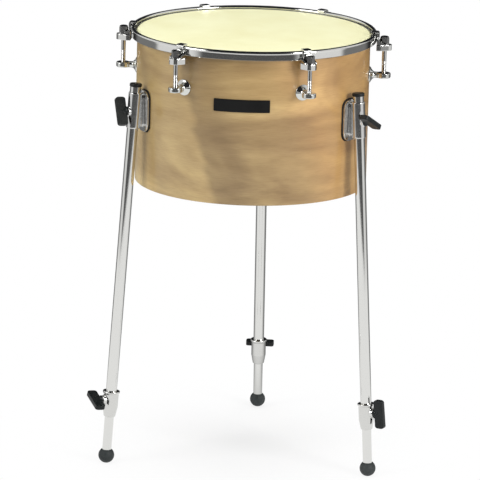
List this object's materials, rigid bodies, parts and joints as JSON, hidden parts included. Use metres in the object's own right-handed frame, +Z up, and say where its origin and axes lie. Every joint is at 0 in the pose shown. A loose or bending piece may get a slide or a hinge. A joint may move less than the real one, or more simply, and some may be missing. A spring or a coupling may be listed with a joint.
{
  "type": "kettledrum",
  "caption": "Wooden kettledrum open below, its skin held by a steel hoop with claws and tension screws, on splayed telescopic legs clamped by wing bolts.",
  "frame": {"origin": "middle of the floor space that the drum covers, on the floor", "axes": "+Z up through the skin, -Y towards the front with the badge, +X to the viewer's right"},
  "size_m": [0.5179, 0.5023, 0.753],
  "materials": {
    "beech_veneer": "figured beech veneer under a satin lacquer",
    "cream_skin": "cream skin, smooth and slightly glossy",
    "flesh_hoop_alloy": "plain drawn alloy",
    "hoop_chrome": "bright chrome",
    "claw_chrome": "bright chrome on a casting",
    "screw_chrome": "chromed steel",
    "lug_chrome": "bright chrome",
    "nut_zinc": "zinc plated steel",
    "badge_lacquer": "black lacquer, blank",
    "gasket_black": "matt black",
    "bracket_chrome": "bright chrome on a casting",
    "backing_steel": "plain steel",
    "wing_black": "black moulded plastic",
    "tube_chrome": "bright chrome",
    "cap_black": "black moulded plastic",
    "clamp_chrome": "bright chrome on a casting",
    "foot_rubber": "dark grey rubber"
  },
  "bodies": {
    "drum": {"shell": "beech_veneer", "drum_skin": "cream_skin", "badge_plate": "badge_lacquer", "lug_1": "lug_chrome", "lug_2": "lug_chrome", "lug_3": "lug_chrome", "lug_4": "lug_chrome", "lug_5": "lug_chrome", "lug_6": "lug_chrome", "lug_nut_1": "nut_zinc", "lug_nut_2": "nut_zinc", "lug_nut_3": "nut_zinc", "lug_nut_4": "nut_zinc", "lug_nut_5": "nut_zinc", "lug_nut_6": "nut_zinc", "bracket_gasket_left": "gasket_black", "leg_bracket_left": "bracket_chrome", "bracket_backing_left": "backing_steel", "bracket_gasket_right": "gasket_black", "leg_bracket_right": "bracket_chrome", "bracket_backing_right": "backing_steel", "bracket_gasket_rear": "gasket_black", "leg_bracket_rear": "bracket_chrome", "bracket_backing_rear": "backing_steel"},
    "hoop": {"counter_hoop": "hoop_chrome", "flesh_hoop": "flesh_hoop_alloy", "claw_1": "claw_chrome", "claw_2": "claw_chrome", "claw_3": "claw_chrome", "claw_4": "claw_chrome", "claw_5": "claw_chrome", "claw_6": "claw_chrome"},
    "screw_1": {"tension_screw_1": "screw_chrome"},
    "screw_2": {"tension_screw_2": "screw_chrome"},
    "screw_3": {"tension_screw_3": "screw_chrome"},
    "screw_4": {"tension_screw_4": "screw_chrome"},
    "screw_5": {"tension_screw_5": "screw_chrome"},
    "screw_6": {"tension_screw_6": "screw_chrome"},
    "leg_left": {"leg_tube_left": "tube_chrome", "leg_cap_left": "cap_black", "leg_clamp_left": "clamp_chrome"},
    "extension_left": {"leg_extension_left": "tube_chrome", "foot_left": "foot_rubber"},
    "bracket_wing_left": {"bracket_wing_bolt_left": "wing_black"},
    "clamp_wing_left": {"clamp_wing_bolt_left": "wing_black"},
    "leg_right": {"leg_tube_right": "tube_chrome", "leg_cap_right": "cap_black", "leg_clamp_right": "clamp_chrome"},
    "extension_right": {"leg_extension_right": "tube_chrome", "foot_right": "foot_rubber"},
    "bracket_wing_right": {"bracket_wing_bolt_right": "wing_black"},
    "clamp_wing_right": {"clamp_wing_bolt_right": "wing_black"},
    "leg_rear": {"leg_tube_rear": "tube_chrome", "leg_cap_rear": "cap_black", "leg_clamp_rear": "clamp_chrome"},
    "extension_rear": {"leg_extension_rear": "tube_chrome", "foot_rear": "foot_rubber"},
    "bracket_wing_rear": {"bracket_wing_bolt_rear": "wing_black"},
    "clamp_wing_rear": {"clamp_wing_bolt_rear": "wing_black"}
  },
  "joints": [
    {"name": "hoop_travel", "type": "slide", "parent": "drum", "child": "hoop", "axis": [0, 0, 1], "range_m": [-0.00187, 0.0025]},
    {"name": "screw_turn_1", "type": "hinge", "parent": "hoop", "child": "screw_1", "pos_m": [-0.11235, 0.1536, 0.731], "axis": [0, 0, 1], "range_deg": [-545, 725]},
    {"name": "screw_turn_2", "type": "hinge", "parent": "hoop", "child": "screw_2", "pos_m": [-0.2247, -0.041, 0.731], "axis": [0, 0, 1], "range_deg": [-545, 725]},
    {"name": "screw_turn_3", "type": "hinge", "parent": "hoop", "child": "screw_3", "pos_m": [-0.11235, -0.2356, 0.731], "axis": [0, 0, 1], "range_deg": [-545, 725]},
    {"name": "screw_turn_4", "type": "hinge", "parent": "hoop", "child": "screw_4", "pos_m": [0.11235, -0.2356, 0.731], "axis": [0, 0, 1], "range_deg": [-545, 725]},
    {"name": "screw_turn_5", "type": "hinge", "parent": "hoop", "child": "screw_5", "pos_m": [0.2247, -0.041, 0.731], "axis": [0, 0, 1], "range_deg": [-545, 725]},
    {"name": "screw_turn_6", "type": "hinge", "parent": "hoop", "child": "screw_6", "pos_m": [0.11235, 0.1536, 0.731], "axis": [0, 0, 1], "range_deg": [-545, 725]},
    {"name": "leg_height_left", "type": "slide", "parent": "drum", "child": "leg_left", "axis": [0.0574, 0.0331, 0.9978], "range_m": [-0.01, 0.06]},
    {"name": "leg_reach_left", "type": "slide", "parent": "leg_left", "child": "extension_left", "axis": [0.0574, 0.0331, 0.9978], "range_m": [-0.2, 0.055]},
    {"name": "bracket_wing_turn_left", "type": "hinge", "parent": "drum", "child": "bracket_wing_left", "pos_m": [-0.19182, -0.15175, 0.6187], "axis": [-0.8641, -0.4989, 0.0663], "range_deg": [0, 540]},
    {"name": "clamp_wing_turn_left", "type": "hinge", "parent": "leg_left", "child": "clamp_wing_left", "pos_m": [-0.22097, -0.16858, 0.11202], "axis": [-0.8641, -0.4989, 0.0663], "range_deg": [0, 540]},
    {"name": "leg_height_right", "type": "slide", "parent": "drum", "child": "leg_right", "axis": [-0.0574, 0.0331, 0.9978], "range_m": [-0.01, 0.06]},
    {"name": "leg_reach_right", "type": "slide", "parent": "leg_right", "child": "extension_right", "axis": [-0.0574, 0.0331, 0.9978], "range_m": [-0.2, 0.055]},
    {"name": "bracket_wing_turn_right", "type": "hinge", "parent": "drum", "child": "bracket_wing_right", "pos_m": [0.19182, -0.15175, 0.6187], "axis": [0.8641, -0.4989, 0.0663], "range_deg": [0, 540]},
    {"name": "clamp_wing_turn_right", "type": "hinge", "parent": "leg_right", "child": "clamp_wing_right", "pos_m": [0.22097, -0.16858, 0.11202], "axis": [0.8641, -0.4989, 0.0663], "range_deg": [0, 540]},
    {"name": "leg_height_rear", "type": "slide", "parent": "drum", "child": "leg_rear", "axis": [0, -0.0663, 0.9978], "range_m": [-0.01, 0.06]},
    {"name": "leg_reach_rear", "type": "slide", "parent": "leg_rear", "child": "extension_rear", "axis": [0, -0.0663, 0.9978], "range_m": [-0.2, 0.055]},
    {"name": "bracket_wing_turn_rear", "type": "hinge", "parent": "drum", "child": "bracket_wing_rear", "pos_m": [0, 0.1805, 0.6187], "axis": [0, 0.9978, 0.0663], "range_deg": [0, 540]},
    {"name": "clamp_wing_turn_rear", "type": "hinge", "parent": "leg_rear", "child": "clamp_wing_rear", "pos_m": [0, 0.21415, 0.11202], "axis": [0, 0.9978, 0.0663], "range_deg": [0, 540]}
  ],
  "couplings": [
    {"joint": "screw_turn_1", "follows": "hoop_travel", "rad_per_m": 5026.5},
    {"joint": "screw_turn_2", "follows": "hoop_travel", "rad_per_m": 5026.5},
    {"joint": "screw_turn_3", "follows": "hoop_travel", "rad_per_m": 5026.5},
    {"joint": "screw_turn_4", "follows": "hoop_travel", "rad_per_m": 5026.5},
    {"joint": "screw_turn_5", "follows": "hoop_travel", "rad_per_m": 5026.5},
    {"joint": "screw_turn_6", "follows": "hoop_travel", "rad_per_m": 5026.5}
  ]
}
